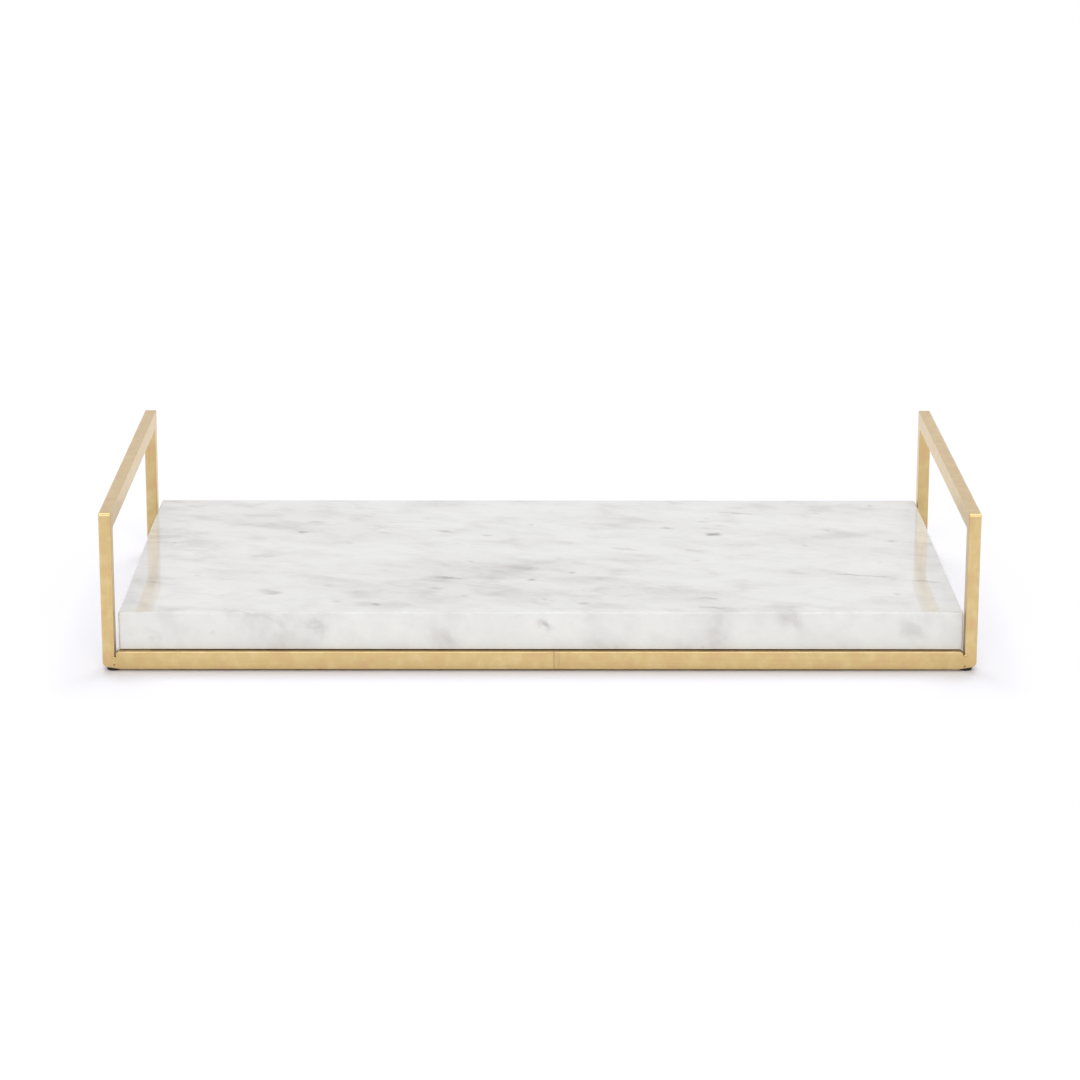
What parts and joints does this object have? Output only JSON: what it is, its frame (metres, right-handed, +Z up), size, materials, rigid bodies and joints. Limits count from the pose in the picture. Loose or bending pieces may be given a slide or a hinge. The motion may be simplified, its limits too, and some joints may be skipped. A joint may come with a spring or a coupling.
{
  "type": "dresser vanity tray",
  "caption": "Flat rectangular marble slab resting in a welded gold bar frame, with an upright rectangular handle hoop at each end and small round feet.",
  "frame": {"origin": "on the ground, under the middle of the tray", "axes": "+X along the tray to its right-hand handle, +Y from the front to the back, +Z up"},
  "size_m": [0.457, 0.241, 0.0852],
  "materials": {
    "marble": "polished white marble with faint soft grey veins",
    "gold_bar": "satin pale gold plating on flat bar",
    "rubber_foot": "matt black",
    "clear_pad": "clear silicone"
  },
  "bodies": {
    "frame": {"left_front_post": "gold_bar", "left_rear_post": "gold_bar", "left_handle_bar": "gold_bar", "left_cross_bar": "gold_bar", "left_front_foot": "rubber_foot", "left_front_slab_pad": "clear_pad", "left_rear_foot": "rubber_foot", "left_rear_slab_pad": "clear_pad", "right_front_post": "gold_bar", "right_rear_post": "gold_bar", "right_handle_bar": "gold_bar", "right_cross_bar": "gold_bar", "right_front_foot": "rubber_foot", "right_front_slab_pad": "clear_pad", "right_rear_foot": "rubber_foot", "right_rear_slab_pad": "clear_pad", "front_rail_left": "gold_bar", "front_rail_right": "gold_bar", "rear_rail": "gold_bar"},
    "slab": {"marble_slab": "marble"}
  },
  "joints": [
    {"name": "slab_lift", "type": "slide", "parent": "frame", "child": "slab", "axis": [0, 0, 1], "range_m": [0, 0.08]}
  ]
}
